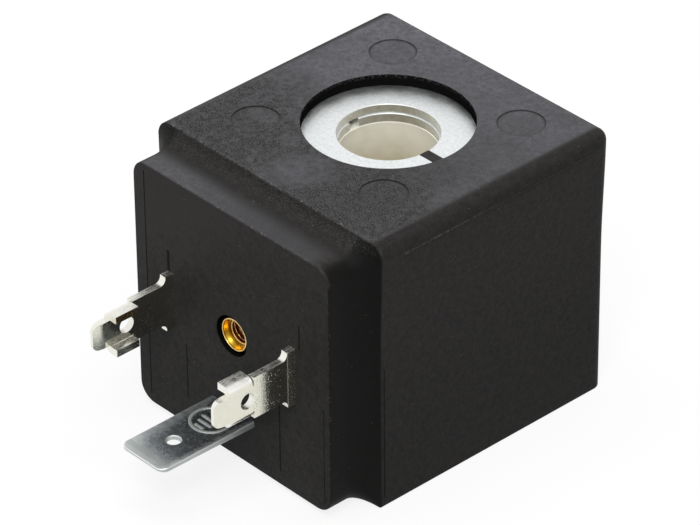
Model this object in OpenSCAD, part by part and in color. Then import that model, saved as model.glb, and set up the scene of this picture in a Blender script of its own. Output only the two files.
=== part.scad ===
// Encapsulated solenoid valve coil with blade contacts on one face.
// Millimetres. The origin is on the bore axis at the valve-side face.
// +Z points away from the valve and -Y points out of the contact face.

/* [Body] */
// Width of the moulded body across the contact face
body_w = 32.1; // [31:0.1:38]
// Height of the body along the bore
body_h = 30.9; // [30:0.1:40]
// Bore axis to the front shoulder of the body
body_front = 15.8; // [15.2:0.1:20]
// Bore axis to the back of the body
body_back = 14.8; // [13.5:0.1:20]
// Radius of the upright corners
corner_r = 1.2; // [1.2:0.1:3]
// Rounding of the top edges
edge_r = 1.1; // [0.4:0.1:1.1]
// Rounding of the valve-side edges
base_edge_r = 0.2; // [0.1:0.1:1.1]
// Diameter of the ejector marks on the top
ejector_d = 5; // [3:0.1:6]
// Depth of the ejector marks
ejector_depth = 0.1; // [0.05:0.01:0.3]
// Ejector marks from the bore axis, along both sides
ejector_offset = 9.3; // [8.8:0.1:10.5]

/* [Connector boss] */
// Contact face ahead of the front shoulder
boss_proud = 5.4; // [4.5:0.1:8]
// Step in from the body's sides to the boss
boss_side_step = 1.75; // [0.8:0.05:2]
// Step down from the body's top to the boss
boss_top_step = 1.5; // [0.8:0.05:2]
// Step up from the valve-side face to the boss
boss_bottom_step = 0.6; // [0.3:0.05:2]
// Corner radius of the boss outline
boss_corner_r = 2; // [1:0.1:4]
// Radius of the cove round the foot of the boss
cove_r = 2.7; // [1.5:0.1:4]
// Rounding of the boss's front edge
boss_edge_r = 0.15; // [0.1:0.05:0.9]

/* [Bore] */
// Bore through the bobbin for the armature tube
bore_d = 10; // [8:0.1:11]
// Diameter of the round recess at each end
recess_d = 17.5; // [14:0.1:20]
// Depth of each recess
recess_depth = 1.3; // [0.5:0.1:1.8]

/* [Yoke] */
// Sheet thickness of both brackets
yoke_t = 1; // [0.6:0.1:1.2]
// Width of the bracket strip
yoke_w = 22; // [20.5:0.1:24]
// Inside bend radius of the brackets
yoke_bend_r = 0.6; // [0.2:0.1:1.5]
// Moulded wall outside the bracket webs
yoke_wall = 2; // [1:0.1:2.4]
// Outer bracket's hole beyond the bore, on the radius
outer_hole_gap = 0.2; // [0.1:0.05:0.6]
// Inner bracket's hole beyond the bore, on the radius
inner_hole_gap = 0.05; // [0.02:0.01:0.3]
// Width of the slit in each arm
slit_w = 1.25; // [0.6:0.05:2]
// Open length of the inner bracket's slit at its hole
slit_mouth = 1.5; // [0.5:0.1:2.5]
// Free end of the inner arms short of the outer web
arm_gap = 0.3; // [0.1:0.05:1]

/* [Bobbin and winding] */
// Wall of the bobbin tube
bobbin_wall = 0.9; // [0.6:0.05:1.2]
// Thickness of the bobbin flanges
flange_t = 1.4; // [1.2:0.1:2]
// Diameter of the bobbin flanges
flange_d = 23; // [22.2:0.1:24]
// Outside diameter of the winding
winding_d = 20.4; // [15:0.1:21.2]
// Thickness of the insulating wrap
tape_t = 0.3; // [0.1:0.05:0.4]
// Width of each terminal lug on the upper flange
lug_w = 3.2; // [2.4:0.1:4]
// Lug beyond the terminal leg at the front
lug_margin = 0.6; // [0.3:0.1:0.6]

/* [Leads] */
// Diameter of the lead wire
wire_d = 0.5; // [0.3:0.05:0.6]
// Outside diameter of the start lead's sleeve
sleeve_d = 1; // [0.8:0.05:1.1]
// Start lead's corner clear of the lug
lead_gap = 0.6; // [0.4:0.05:1]
// Radius of the solder joints
solder_r = 0.75; // [0.5:0.05:0.75]
// Solder joints below the upper flange
solder_drop = 2.6; // [1.5:0.1:6]

/* [Power terminals] */
// Distance between the two blades
blade_pitch = 18; // [17:0.1:20]
// Thickness of the blades
blade_t = 0.8; // [0.5:0.05:0.85]
// Length of the blades from the contact face
blade_len = 10.4; // [9.8:0.1:12]
// Height of the flared base
base_h = 6.45; // [5.6:0.05:8]
// Length of the flared base
base_len = 1.05; // [0.6:0.05:1.5]
// Coined collar on the base beyond the blade's faces
collar_proud = 0.08; // [0.04:0.02:0.12]
// Collar clear of the contact face
collar_gap = 0.1; // [0.06:0.02:0.4]
// Radius of the flare below the base
flare_r = 0.7; // [0.2:0.05:0.8]
// Height of the neck, and of the folded ears
neck_h = 4.75; // [4.4:0.05:5.4]
// Start of the ears from the contact face
ear_start = 5.5; // [3.5:0.1:5.8]
// Length of the ears
ear_len = 2.9; // [1.5:0.1:3.2]
// Reach of the ears from the blade's outer face
ear_reach = 1.85; // [1.2:0.05:3]
// Outside bend radius of the ears
ear_bend_r = 0.9; // [0.9:0.05:1.2]
// Relief cut between the neck and the ears
relief_w = 0.12; // [0.1:0.02:0.5]
// Hole through each blade
blade_hole_d = 1.8; // [0.8:0.1:2]
// Blade hole from the contact face
blade_hole_at = 6.2; // [5.8:0.1:7]
// Corner radius of the tip
tip_r = 0.7; // [0.2:0.1:1]
// Length of the bevel at the tip
bevel_len = 1.2; // [0.4:0.1:1.3]
// Thickness of the blade at its tip
tip_t = 0.36; // [0.2:0.02:0.48]
// Width of the leg inside the body
leg_w = 2; // [1.5:0.1:2.2]
// Height of the tail inside the body
tail_h = 4; // [3:0.1:4.4]

/* [Earth terminal] */
// Width of the earth tab
earth_w = 6.3; // [4.8:0.1:6.5]
// Thickness of the earth tab
earth_t = 0.8; // [0.5:0.05:1]
// Length of the tab from the contact face
earth_len = 11.9; // [9:0.1:14]
// Screw centre down to the middle of the tab
earth_drop = 9.1; // [8.5:0.05:9.3]
// Hole through the tab
earth_hole_d = 1.5; // [0.8:0.1:2.5]
// Hole from the tip of the tab
earth_hole_from_tip = 4.05; // [2.5:0.05:5]
// Corner radius of the tab's tip
earth_tip_r = 0.9; // [0.3:0.1:2]
// Length of the bevel at the tab's tip
earth_bevel_len = 0.6; // [0.3:0.1:1.2]
// Thickness taken off each side by the tab's bevel
earth_bevel_depth = 0.15; // [0.05:0.05:0.2]
// Inside bend radius of the tail
earth_bend_r = 0.45; // [0.2:0.05:0.5]
// Length of the tail's foot on the yoke
earth_foot = 2; // [1:0.1:2.2]
// Room round the foot in the bobbin flange
foot_gap = 0.25; // [0.1:0.05:0.5]

/* [Screw insert] */
// Tapped bore, as drilled
tap_d = 2.5; // [2:0.1:3]
// Mouth of the countersink
sink_d = 3.4; // [3.05:0.05:3.5]
// Depth of the countersink
sink_depth = 0.85; // [0.3:0.05:1.2]
// Diameter of the insert's neck
neck_d = 3.65; // [3.6:0.05:4.2]
// Diameter of the insert's body
insert_d = 4.8; // [4.6:0.1:6]
// Diameter of the groove round the body
groove_d = 4.1; // [3.4:0.1:4.4]
// Length of the insert
insert_len = 6.2; // [5:0.1:7]
// Length of the neck
neck_len = 0.8; // [0.4:0.1:1]
// Insert back from the contact face
insert_back = 0.2; // [0:0.05:0.5]
// Diameter of the moulded hole round the neck
mouth_d = 4.5; // [4.3:0.05:5]

/* [Hidden] */
$fn = 64;
over = 1;
corner_swell = 1.15;
plastic_black = "#2b2a29";
galvanised = "#c4c8c8";
tinned = "#d9dad6";
brass = "#c99a35";
cream = "#d8d2b8";
copper = "#b5673a";
tape_amber = "#c58a2c";
sleeve_white = "#e6e3da";
solder_grey = "#a9abad";

face_y = -(body_front + boss_proud);
boss_w = body_w - 2 * boss_side_step;
boss_h = body_h - boss_top_step - boss_bottom_step;
contact_z = boss_bottom_step + boss_h / 2;
cove_start = boss_proud - cove_r;
cut_reach = boss_corner_r + cove_r + boss_side_step + boss_top_step;
block_d = body_back - face_y + 2 * corner_r;
block_y = body_back - block_d / 2;

outer_r = bore_d / 2 + outer_hole_gap;
inner_r = bore_d / 2 + inner_hole_gap;
outer_web_x = body_w / 2 - yoke_wall;
inner_z0 = recess_depth + yoke_t;
bobbin_z0 = inner_z0 + yoke_t;
bobbin_z1 = body_h - bobbin_z0;
window_z0 = bobbin_z0 + flange_t;
window_z1 = bobbin_z1 - flange_t;
tube_r = bore_d / 2 + bobbin_wall;
wrap_r = winding_d / 2 + tape_t;

blade_x = blade_pitch / 2;
blade_in = blade_x - blade_t / 2;
blade_out = blade_x + blade_t / 2;
tip_h = neck_h - 2 * ear_bend_r;
leg_y1 = -(flange_d / 2 + yoke_t);
leg_y0 = leg_y1 - leg_w;
leg_y = (leg_y0 + leg_y1) / 2;
anchor_len = boss_edge_r + base_len;

earth_z = contact_z - earth_drop;
foot_z = bobbin_z0 + earth_t / 2;
earth_fall = earth_z - foot_z;
earth_turn_r = min(earth_bend_r + earth_t / 2, earth_fall / 2);
foot_y1 = -yoke_w / 2 + earth_foot;
riser_y = -yoke_w / 2 - earth_turn_r - earth_t / 2;

groove_z = window_z1 + sleeve_d / 2;
sleeve_r0 = tube_r + sleeve_d;
start_r = tube_r + sleeve_d / 2;
groove_r0 = (tube_r + start_r - wire_d / 2) / 2;
sleeve_r1 = flange_d / 2;
joint_z = window_z1 - solder_drop;
lead_r = sleeve_r1 + sleeve_d;
start_angle = -acos((blade_x - lug_w / 2 - lead_gap) / lead_r);
start_dir = [cos(start_angle), sin(start_angle)];
start_end = [blade_in, leg_y, joint_z];
start_points = [
    [start_r * start_dir.x, start_r * start_dir.y, window_z1],
    [start_r * start_dir.x, start_r * start_dir.y, groove_z],
    [lead_r * start_dir.x, lead_r * start_dir.y, groove_z],
    start_end
];
finish_end = [-blade_in, leg_y, joint_z];
finish_points = [
    [-winding_d / 2 * start_dir.x, winding_d / 2 * start_dir.y, joint_z],
    finish_end
];

// Flat rectangle with round corners, centred
module rounded_rect(w, h, r) {
    square([w - 2 * r, h], center = true);
    square([w, h - 2 * r], center = true);
    for (x = [-1, 1], y = [-1, 1])
        translate([x * (w / 2 - r), y * (h / 2 - r)]) circle(r);
}

// Carries a flat profile round the outline of a rounded rectangle.
// In the profile x points out of the outline and y along the axis.
module sweep_round_rect(w, h, r) {
    for (side = [0:3]) {
        run = side % 2 == 0 ? h : w;
        half = (side % 2 == 0 ? w : h) / 2;
        rotate(90 * side) {
            translate([half, 0, 0]) rotate([90, 0, 0])
                linear_extrude(run - 2 * r, center = true) children();
            translate([half - r, run / 2 - r, 0])
                rotate_extrude(angle = 90) translate([r, 0]) children();
        }
    }
}

// What a rounding of radius r takes off an edge at the profile's origin
module edge_profile(r) {
    difference() {
        translate([-r, -r]) square(r + over);
        translate([-r, -r]) circle(r);
    }
}

// Straight round rod from one point to another
module rod(a, b, d) {
    run = b - a;
    turn = [0, acos(run.z / norm(run)), atan2(run.y, run.x)];
    translate(a) rotate(turn) cylinder(h = norm(run), d = d);
}

// Round wire along a list of points, with slightly swollen ball corners
module wire(points, d) {
    for (i = [0:len(points) - 2]) rod(points[i], points[i + 1], d);
    for (i = [1:1:len(points) - 2]) translate(points[i]) sphere(d = d * corner_swell);
}

// Frame of the contact face: x across, y up from the screw centre, z out of the face
module on_contact_face() {
    translate([0, face_y, contact_z]) rotate([90, 0, 0]) children();
}

// Everything outside the boss, with the cove at its foot
module boss_surround() {
    on_contact_face() {
        sweep_round_rect(boss_w, boss_h, boss_corner_r) {
            translate([0, -cove_start]) square([cut_reach, cove_start + over]);
            translate([cove_r, -boss_proud]) square([cut_reach - cove_r, boss_proud + over]);
            translate([cove_r, -cove_start]) circle(cove_r);
            edge_profile(boss_edge_r);
        }
        linear_extrude(2 * corner_r + over) square(2 * (body_w + body_h), center = true);
    }
}

// Outside of the moulding before anything is let into it
module housing_form() {
    difference() {
        translate([0, block_y, 0]) linear_extrude(body_h) rounded_rect(body_w, block_d, corner_r);
        translate([0, block_y, body_h]) sweep_round_rect(body_w, block_d, corner_r)
            edge_profile(min(edge_r, corner_r));
        translate([0, block_y, 0]) mirror([0, 0, 1])
            sweep_round_rect(body_w, block_d, corner_r) edge_profile(min(base_edge_r, corner_r));
        boss_surround();
    }
}

// Air inside the coil: recesses, plate holes, the open slit mouth and the insert's hole
module open_space() {
    translate([0, 0, -over]) cylinder(h = recess_depth + over, d = recess_d);
    translate([0, 0, body_h - recess_depth]) cylinder(h = recess_depth + over, d = recess_d);
    translate([0, 0, -over]) cylinder(h = body_h + 2 * over, r = bore_d / 2);
    for (z = [recess_depth, bobbin_z1 + yoke_t]) translate([0, 0, z]) cylinder(h = yoke_t, r = outer_r);
    for (z = [inner_z0, bobbin_z1]) translate([0, 0, z]) {
        cylinder(h = yoke_t, r = inner_r);
        translate([-inner_r - slit_mouth, -slit_w / 2, 0]) cube([inner_r + slit_mouth, slit_w, yoke_t]);
    }
    on_contact_face() {
        translate([0, 0, -insert_back - neck_len])
            cylinder(h = insert_back + neck_len + over, d = mouth_d);
        insert_bore(0);
    }
}

module ejector_marks() {
    for (x = [-1, 1], y = [-1, 1])
        translate([x * ejector_offset, y * ejector_offset, body_h - ejector_depth])
            cylinder(h = ejector_depth + over, d = ejector_d);
}

module encapsulation() {
    color(plastic_black) difference() {
        housing_form();
        open_space();
        ejector_marks();
        outer_yoke();
        inner_yoke();
        bobbin();
        lead_groove();
        winding();
        winding_tape();
        start_lead();
        finish_lead();
        left_solder_joint();
        right_solder_joint();
        left_terminal();
        right_terminal();
        earth_terminal();
        threaded_insert();
    }
}

// U bracket bent from strip: web at -reach, arms from the web to +arm_end, outer faces at z0 and z1
module u_bracket(reach, arm_end, z0, z1) {
    bend = yoke_bend_r + yoke_t;
    rotate([90, 0, 0]) linear_extrude(yoke_w, center = true) {
        for (z = [z0, z1 - yoke_t])
            translate([-reach + bend, z]) square([reach - bend + arm_end, yoke_t]);
        translate([-reach, z0 + bend]) square([yoke_t, z1 - z0 - 2 * bend]);
        for (end = [[z0, -1], [z1, 1]]) translate([-reach + bend, end[0] - end[1] * bend]) intersection() {
            difference() {
                circle(bend);
                circle(yoke_bend_r);
            }
            translate([-bend, end[1] < 0 ? -bend : 0]) square(bend);
        }
    }
}

module outer_yoke() {
    color(galvanised) difference() {
        u_bracket(outer_web_x, outer_web_x, recess_depth, body_h - recess_depth);
        cylinder(h = body_h, r = outer_r);
        translate([0, -slit_w / 2, 0]) cube([body_w, slit_w, body_h]);
    }
}

module inner_yoke() {
    color(galvanised) difference() {
        mirror([1, 0, 0])
            u_bracket(outer_web_x, outer_web_x - yoke_t - arm_gap, inner_z0, body_h - inner_z0);
        cylinder(h = body_h, r = inner_r);
        translate([-body_w, -slit_w / 2, 0]) cube([body_w, slit_w, body_h]);
    }
}

// Radial groove for the start lead in the upper flange's winding side
module lead_groove() {
    rotate(start_angle) translate([groove_r0, -sleeve_d / 2, window_z1 - wire_d / 2])
        cube([sleeve_r1 + sleeve_d / 2 - groove_r0, sleeve_d, sleeve_d + wire_d / 2]);
}

module bobbin() {
    lug_y0 = leg_y0 - lug_margin;
    color(cream) difference() {
        union() {
            translate([0, 0, bobbin_z0]) cylinder(h = bobbin_z1 - bobbin_z0, r = tube_r);
            for (z = [bobbin_z0, window_z1]) translate([0, 0, z]) cylinder(h = flange_t, d = flange_d);
            for (x = [-1, 1]) translate([x * blade_x - lug_w / 2, lug_y0, window_z1])
                cube([lug_w, -lug_y0 - tube_r, flange_t]);
        }
        translate([0, 0, bobbin_z0 - over]) cylinder(h = bobbin_z1 - bobbin_z0 + 2 * over, d = bore_d);
        lead_groove();
        for (x = [-1, 1]) translate([x * blade_x - blade_t / 2, leg_y0, window_z1 - over])
            cube([blade_t, leg_w, flange_t + 2 * over]);
        translate([-earth_w / 2 - foot_gap, -flange_d, bobbin_z0 - over])
            cube([earth_w + 2 * foot_gap, flange_d + foot_y1 + foot_gap, flange_t + over]);
    }
}

module winding() {
    color(copper) translate([0, 0, window_z0]) difference() {
        cylinder(h = window_z1 - window_z0, d = winding_d);
        translate([0, 0, -over]) cylinder(h = window_z1 - window_z0 + 2 * over, r = tube_r);
    }
}

module winding_tape() {
    color(tape_amber) difference() {
        translate([0, 0, window_z0]) cylinder(h = window_z1 - window_z0, r = wrap_r);
        translate([0, 0, window_z0 - over]) cylinder(h = window_z1 - window_z0 + 2 * over, d = winding_d);
        rod(finish_points[0], finish_points[1], wire_d);
    }
}

module start_lead() {
    color(copper) difference() {
        wire(start_points, wire_d);
        right_terminal();
    }
}

module start_lead_sleeve() {
    color(sleeve_white) rotate(start_angle) translate([sleeve_r0, 0, groove_z]) rotate([0, 90, 0])
        difference() {
            cylinder(h = sleeve_r1 - sleeve_r0, d = sleeve_d);
            translate([0, 0, -over]) cylinder(h = sleeve_r1 - sleeve_r0 + 2 * over, d = wire_d);
        }
}

module finish_lead() {
    color(copper) difference() {
        wire(finish_points, wire_d);
        winding();
        left_terminal();
    }
}

module left_solder_joint() {
    color(solder_grey) difference() {
        translate(finish_end) sphere(solder_r);
        left_terminal();
        finish_lead();
    }
}

module right_solder_joint() {
    color(solder_grey) difference() {
        translate(start_end) sphere(solder_r);
        right_terminal();
        start_lead();
    }
}

// Blade outline: x out of the contact face, y up from the blade's middle
module blade_outline() {
    translate([-anchor_len, -base_h / 2]) square([anchor_len + base_len, base_h]);
    difference() {
        translate([base_len, -neck_h / 2 - flare_r]) square([flare_r, neck_h + 2 * flare_r]);
        for (y = [-1, 1]) translate([base_len + flare_r, y * (neck_h / 2 + flare_r)]) circle(flare_r);
    }
    translate([0, -neck_h / 2]) square([ear_start - relief_w, neck_h]);
    translate([0, -tip_h / 2]) square([blade_len - tip_r, tip_h]);
    translate([0, -tip_h / 2 + tip_r]) square([blade_len, tip_h - 2 * tip_r]);
    for (y = [-1, 1]) translate([blade_len - tip_r, y * (tip_h / 2 - tip_r)]) circle(tip_r);
}

// Ears in cross-section, folded towards -x from the outer face at x = 0
module ear_section() {
    for (y = [0, 1]) mirror([0, y]) {
        translate([-ear_bend_r, tip_h / 2]) intersection() {
            difference() {
                circle(ear_bend_r);
                circle(ear_bend_r - blade_t);
            }
            square(ear_bend_r);
        }
        translate([-ear_reach, neck_h / 2 - blade_t]) square([ear_reach - ear_bend_r, blade_t]);
    }
    translate([-blade_t, -tip_h / 2]) square([blade_t, tip_h]);
}

// Tail inside the body: strip back from the face and a leg up into the bobbin's lug
module tail_outline() {
    tail_y = face_y - leg_y1;
    translate([tail_y, -tail_h / 2]) square([-tail_y, tail_h]);
    translate([tail_y, -tail_h / 2]) square([leg_w, bobbin_z1 - contact_z + tail_h / 2]);
}

module power_terminal() {
    color(tinned) difference() {
        union() {
            translate([blade_out, face_y, contact_z]) rotate([90, 0, -90]) linear_extrude(blade_t) {
                blade_outline();
                tail_outline();
            }
            translate([blade_out + collar_proud, face_y - collar_gap, contact_z]) rotate([90, 0, -90])
                linear_extrude(blade_t + 2 * collar_proud)
                    translate([0, -base_h / 2]) square([base_len - collar_gap, base_h]);
            translate([blade_out, face_y - ear_start, contact_z]) rotate([90, 0, 0])
                linear_extrude(ear_len) ear_section();
        }
        translate([blade_in - over, face_y - blade_hole_at, contact_z]) rotate([0, 90, 0])
            cylinder(h = blade_t + 2 * over, d = blade_hole_d);
        translate([blade_x, face_y - blade_len, contact_z - neck_h / 2]) linear_extrude(neck_h)
            rotate(90) bevel_profile(blade_t, bevel_len, (blade_t - tip_t) / 2);
    }
}

// What a bevel takes off both sides of a strip: x back from the tip, y across the thickness
module bevel_profile(t, run, depth) {
    for (side = [-1, 1]) polygon([
        [0, side * (t / 2 - depth)],
        [run, side * t / 2],
        [run, side * (t / 2 + over)],
        [-over, side * (t / 2 + over)],
        [-over, side * (t / 2 - depth)]
    ]);
}

module right_terminal() {
    power_terminal();
}

module left_terminal() {
    mirror([1, 0, 0]) power_terminal();
}

// Earth strip from the side: y along the bore, x towards the back
module earth_tail_profile() {
    tab_y = riser_y - earth_turn_r;
    translate([tab_y - over, earth_z - earth_t / 2]) square([over, earth_t]);
    translate([tab_y, earth_z - earth_turn_r]) quarter_band(0);
    translate([riser_y - earth_t / 2, foot_z + earth_turn_r]) square([earth_t, earth_fall - 2 * earth_turn_r]);
    translate([riser_y + earth_turn_r, foot_z + earth_turn_r]) quarter_band(180);
    translate([riser_y + earth_turn_r, foot_z - earth_t / 2])
        square([foot_y1 - riser_y - earth_turn_r, earth_t]);
}

// Quarter of the strip's bend, in the first quadrant before the turn
module quarter_band(turn) {
    rotate(turn) intersection() {
        difference() {
            circle(earth_turn_r + earth_t / 2);
            circle(earth_turn_r - earth_t / 2);
        }
        square(earth_turn_r + earth_t / 2);
    }
}

module earth_terminal() {
    tab_y = riser_y - earth_turn_r - over;
    tip_y = face_y - earth_len;
    tab_len = tab_y - tip_y;
    color(galvanised) difference() {
        union() {
            translate([0, 0, earth_z - earth_t / 2]) linear_extrude(earth_t) {
                translate([0, tip_y + tab_len / 2]) rounded_rect(earth_w, tab_len, earth_tip_r);
                translate([-earth_w / 2, tab_y - earth_tip_r]) square([earth_w, earth_tip_r]);
            }
            rotate([90, 0, 90]) linear_extrude(earth_w, center = true) earth_tail_profile();
        }
        translate([0, tip_y + earth_hole_from_tip, earth_z - earth_t])
            cylinder(h = 2 * earth_t, d = earth_hole_d);
        translate([0, tip_y, earth_z]) rotate([90, 0, 90]) linear_extrude(earth_w + over, center = true)
            bevel_profile(earth_t, earth_bevel_len, earth_bevel_depth);
    }
}

// Tapped bore with its countersink, in the contact face's frame, cut past the insert's inner end
module insert_bore(past) {
    translate([0, 0, -insert_back - insert_len - past])
        cylinder(h = insert_len + past + over, d = tap_d);
    translate([0, 0, -insert_back - sink_depth]) cylinder(h = sink_depth, d1 = tap_d, d2 = sink_d);
}

// Brass insert: neck at the face, body with a groove between two bands
module threaded_insert() {
    body_len = insert_len - neck_len;
    color(brass) on_contact_face() difference() {
        translate([0, 0, -insert_back - insert_len]) {
            cylinder(h = body_len / 3, d = insert_d);
            cylinder(h = body_len, d = groove_d);
            translate([0, 0, 2 * body_len / 3]) cylinder(h = body_len / 3, d = insert_d);
            cylinder(h = insert_len, d = neck_d);
        }
        insert_bore(over);
    }
}

encapsulation();
outer_yoke();
inner_yoke();
bobbin();
winding();
winding_tape();
start_lead();
start_lead_sleeve();
finish_lead();
left_solder_joint();
right_solder_joint();
left_terminal();
right_terminal();
earth_terminal();
threaded_insert();
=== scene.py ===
"""Solenoid valve coil: the moulded skin, the metal pieces and their finishes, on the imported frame.

Shapes are worked out in millimetres and go into their meshes in metres. The bore runs along Z,
the contact face looks along -Y, and the origin is on the bore's axis at the valve-side face.
"""
import math

import bmesh
import bpy
import numpy as np
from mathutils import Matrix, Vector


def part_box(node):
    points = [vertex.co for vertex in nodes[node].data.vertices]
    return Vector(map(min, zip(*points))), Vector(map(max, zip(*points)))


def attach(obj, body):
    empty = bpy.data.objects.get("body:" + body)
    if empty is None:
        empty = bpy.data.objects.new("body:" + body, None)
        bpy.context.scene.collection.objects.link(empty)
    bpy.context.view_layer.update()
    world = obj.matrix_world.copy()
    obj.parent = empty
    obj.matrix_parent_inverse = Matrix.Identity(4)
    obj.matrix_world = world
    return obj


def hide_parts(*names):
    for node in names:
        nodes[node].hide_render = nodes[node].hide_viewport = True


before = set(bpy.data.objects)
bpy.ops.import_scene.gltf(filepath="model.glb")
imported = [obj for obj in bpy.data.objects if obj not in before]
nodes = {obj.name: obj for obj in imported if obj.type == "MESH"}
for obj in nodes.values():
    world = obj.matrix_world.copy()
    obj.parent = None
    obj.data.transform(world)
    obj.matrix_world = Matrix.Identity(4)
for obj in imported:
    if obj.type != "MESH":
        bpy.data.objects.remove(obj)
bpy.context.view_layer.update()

# Axes by index, a millimetre in metres, a full turn, and how near two points are one, in metres: in the
# surfaces worked out here, and in copies of CAD nodes
X, Z = 0, 2
MM = 0.001
TAU = 2 * math.pi
WELD = 1e-7
NODE_WELD = 1e-6


def box_mm(node):
    """Lowest and highest corner of a CAD node, in millimetres."""
    low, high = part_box(node)
    return np.array(low) / MM, np.array(high) / MM


# Sizes taken from the frame
body_low, body_high = box_mm("encapsulation")
face_y, back_y = body_low[1], body_high[1]
body_half_w, body_h = body_high[0], body_high[2]
plate_high = box_mm("outer_yoke")[1]
tab_low, tab_high = box_mm("earth_terminal")
insert_low, insert_high = box_mm("threaded_insert")
screw_z = (insert_low[2] + insert_high[2]) / 2

# Moulding: steps in to the boss, roundings, recess, insert mouth, ejector marks, flare to the top, where the
# pale top, partly painted sheen, fades out over the long edges into painted shade, and the left parting line
# of the contact face, left of which that face carries more painted sheen
side_step = 1.75
top_step = 1.5
bottom_step = 0.6
boss_corner = 2.0
boss_edge = 0.15
cove_from_face = 2.55
cove_r = 2.7
shoulder_r = 0.12
long_edge = 1.65
back_edge = 1.1
base_edge = 0.2
edge_flatness = 0.25
upright_edge = 1.2
recess_r = 8.75
recess_lip = 0.06
mouth_r = 2.25
mouth_lip = 0.08
mouth_depth = 6.6
ejector_r = 2.5
ejector_depth = 0.07
ejector_groove = 0.06
ejector_lip = 0.03
ejector_offset = 9.3
flare = 0.25
flare_from = 17.0
top_fade = (14.5, 15.3)
strip_x = -12.65

# Screw insert: how far it lies below the face, its countersink, shelf and thread crests
insert_sunk = 0.13
sink_r = 1.68
sink_depth = 0.87
shelf_r = 1.405
crest_r = 1.29

insert_y = insert_low[1] + insert_sunk
insert_len = insert_high[1] - insert_y
boss_half_w = body_half_w - side_step
boss_high = body_h - top_step
cove_sway = math.acos(1 - side_step / (cove_r + shoulder_r))
shoulder_y = face_y + cove_from_face + (cove_r + shoulder_r) * math.sin(cove_sway)

# Blades: distances from the middle to their faces, how far their bases reach from the contact face, their
# height, the collars on the bases, and where the ears end
blade_in = 8.6
blade_out = 9.4
blade_base = 1.05
blade_z = 15.0
collar_h = 6.45
collar_proud = 0.02
ear_end = 7.55

# Earth tab: where its thinning starts, the part of its thickness gone at the tip, and the longer tip
thin_from = -13.1
thin_part = 0.38
tip_more = 0.2

# Yoke plates
plate_t = 1.0
plate_hole_r = 5.2
slit_w = 1.25

# Mesh density of the skin: intervals on the long sides, the upright sides and the corners
across_n = 48
upright_n = 40
corner_n = 8


def grid_faces(rows, cols, wrap=False):
    """Quads between neighbouring rows and columns of a grid of points, round the columns if wrapped."""
    row = np.arange(rows - 1)[:, None] * cols
    col = np.arange(cols if wrap else cols - 1)
    ahead = (col + 1) % cols
    return np.stack([row + col, row + ahead, row + ahead + cols, row + col + cols], -1).reshape(-1, 4)


def place(name, mesh, material, stands_for=(), crease=35):
    """Puts a mesh into the scene as a piece that rides on the root body, smooth up to the crease's angle."""
    mesh.polygons.foreach_set("use_smooth", np.ones(len(mesh.polygons), bool))
    mesh.set_sharp_from_angle(angle=math.radians(crease))
    mesh.materials.append(material)
    piece = bpy.data.objects.new(name, mesh)
    bpy.context.scene.collection.objects.link(piece)
    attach(piece, "root")
    if stands_for:
        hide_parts(*stands_for)
    return piece


def welded(name, blocks):
    """One mesh from blocks of (points in mm, faces): shared edges are merged and faces turned outwards."""
    points = np.concatenate([block.reshape(-1, 3) for block, _ in blocks]) * MM
    starts = np.cumsum([0] + [block.size // 3 for block, _ in blocks[:-1]])
    faces = np.concatenate([face + start for (_, face), start in zip(blocks, starts)])
    mesh = bpy.data.meshes.new(name)
    mesh.from_pydata(points.tolist(), [], faces.tolist())
    work = bmesh.new()
    work.from_mesh(mesh)
    bmesh.ops.remove_doubles(work, verts=work.verts, dist=WELD)
    bmesh.ops.recalc_face_normals(work, faces=work.faces)
    work.to_mesh(mesh)
    work.free()
    return mesh


def softened(node, name, material, width, axis=None, edge_finish=None, reshape=None):
    """A merged copy of a CAD node in the node's place, with flat faces joined and sharp edges rounded.

    For sheet metal, axis is the sheet's normal: each face keeps how far it turns away from that, and the
    rounded edges get a finish of their own. A reshape function may move the points, in mm, first.
    """
    flat_deg, sharp_deg, rounding_n = 0.5, 40, 3
    source = nodes[node].data
    points = np.empty(len(source.vertices) * 3)
    source.vertices.foreach_get("co", points)
    if reshape:
        points = reshape(points.reshape(-1, 3) / MM).ravel() * MM
    corners = np.empty(len(source.loops), int)
    source.loops.foreach_get("vertex_index", corners)
    mesh = bpy.data.meshes.new(name)
    mesh.from_pydata(points.reshape(-1, 3).tolist(), [], corners.reshape(-1, 3).tolist())
    work = bmesh.new()
    work.from_mesh(mesh)
    bmesh.ops.remove_doubles(work, verts=work.verts, dist=NODE_WELD)
    bmesh.ops.dissolve_degenerate(work, dist=NODE_WELD, edges=work.edges)
    bmesh.ops.dissolve_limit(work, angle_limit=math.radians(flat_deg), verts=work.verts, edges=work.edges)
    work.to_mesh(mesh)
    work.free()
    piece = place(name, mesh, material, stands_for=[node])
    bevel = piece.modifiers.new("soft_edges", "BEVEL")
    bevel.width = width * MM
    bevel.segments = rounding_n
    bevel.limit_method = "ANGLE"
    bevel.angle_limit = math.radians(sharp_deg)
    bevel.harden_normals = True
    if edge_finish:
        normals = np.empty(len(mesh.polygons) * 3)
        mesh.polygons.foreach_get("normal", normals)
        off_sheet = 1 - abs(normals.reshape(-1, 3)[:, axis])
        mesh.attributes.new("off_sheet", "FLOAT", "FACE").data.foreach_set("value", off_sheet)
        mesh.materials.append(edge_finish)
        bevel.material = 1


# Shader maths

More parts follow.
